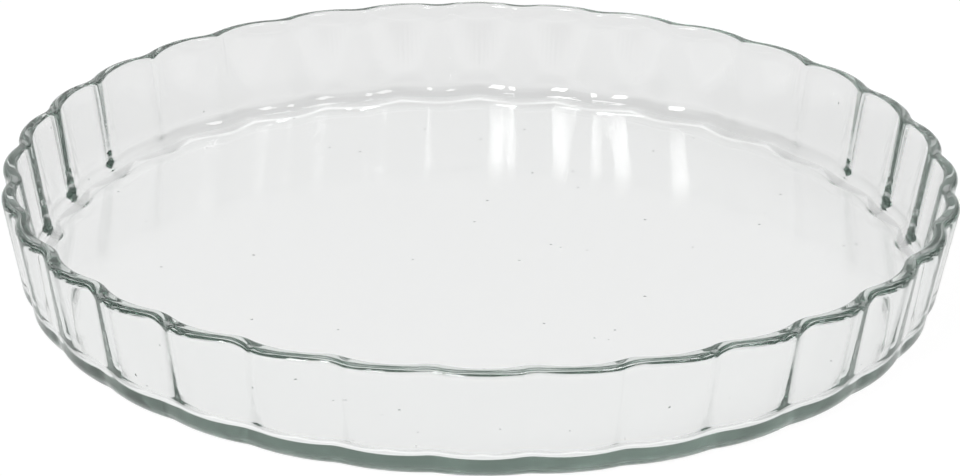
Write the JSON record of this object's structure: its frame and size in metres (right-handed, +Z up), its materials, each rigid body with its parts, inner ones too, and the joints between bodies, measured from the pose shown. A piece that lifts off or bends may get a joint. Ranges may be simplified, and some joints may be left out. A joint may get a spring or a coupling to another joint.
{
  "type": "pie dish",
  "caption": "Round clear glass pie dish with a flat floor and a low wall that leans out in shallow flutes to a rounded, scalloped rim, for baking and serving.",
  "frame": {"origin": "centre of the flat underside that the dish stands on", "axes": "+Z up along the dish's axis; +X and +Y each pass through the crest of a flute"},
  "size_m": [0.2792, 0.2792, 0.0345],
  "materials": {
    "glass": "clear, fire-polished"
  },
  "bodies": {
    "root": {"glass_dish": "glass"}
  },
  "joints": []
}
